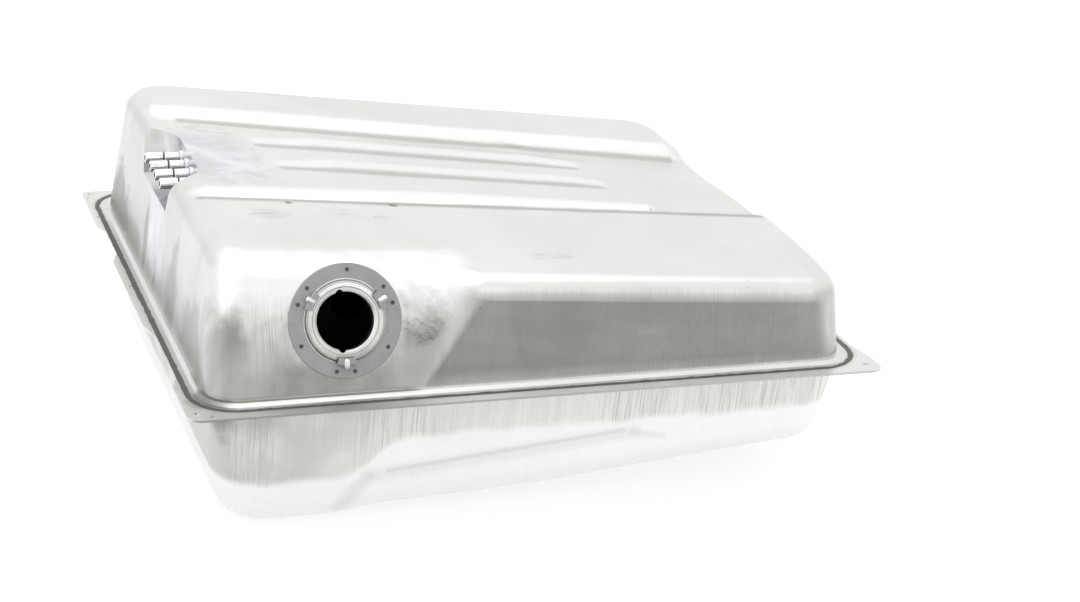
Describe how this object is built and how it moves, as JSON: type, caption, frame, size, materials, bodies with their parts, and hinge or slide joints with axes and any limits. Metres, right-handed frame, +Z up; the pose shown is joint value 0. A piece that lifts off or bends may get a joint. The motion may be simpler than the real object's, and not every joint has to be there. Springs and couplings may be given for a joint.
{
  "type": "car fuel tank",
  "caption": "Pressed steel car fuel tank with a seam flange, a slanted sender opening with its lugged ring, ribbed top and side vent pipes.",
  "frame": {"origin": "middle of the seam plane, centred between the four ear holes of the flange", "axes": "+Z up, square to the seam flange; +X to the right along the sender side; +Y away from the sender side"},
  "size_m": [0.7205, 0.649, 0.29],
  "materials": {
    "terne_sheet": "bright tin-lead plated sheet with fine draw marks",
    "ring_steel": "grey matte coated steel",
    "tube_steel": "bright plated tube",
    "inner_steel": "plain plated sheet"
  },
  "bodies": {
    "root": {"upper_shell": "terne_sheet", "lower_shell": "terne_sheet", "sender_ring": "ring_steel", "filler_collar": "tube_steel", "baffle": "inner_steel", "vent_clip_1": "inner_steel", "vent_clip_2": "inner_steel", "vent_clip_3": "inner_steel", "vent_tube_1": "tube_steel", "vent_tube_2": "tube_steel", "vent_tube_3": "tube_steel", "vent_tube_4": "tube_steel", "vent_sleeve_1": "tube_steel", "vent_sleeve_2": "tube_steel", "vent_sleeve_3": "tube_steel", "vent_sleeve_4": "tube_steel"}
  },
  "joints": []
}
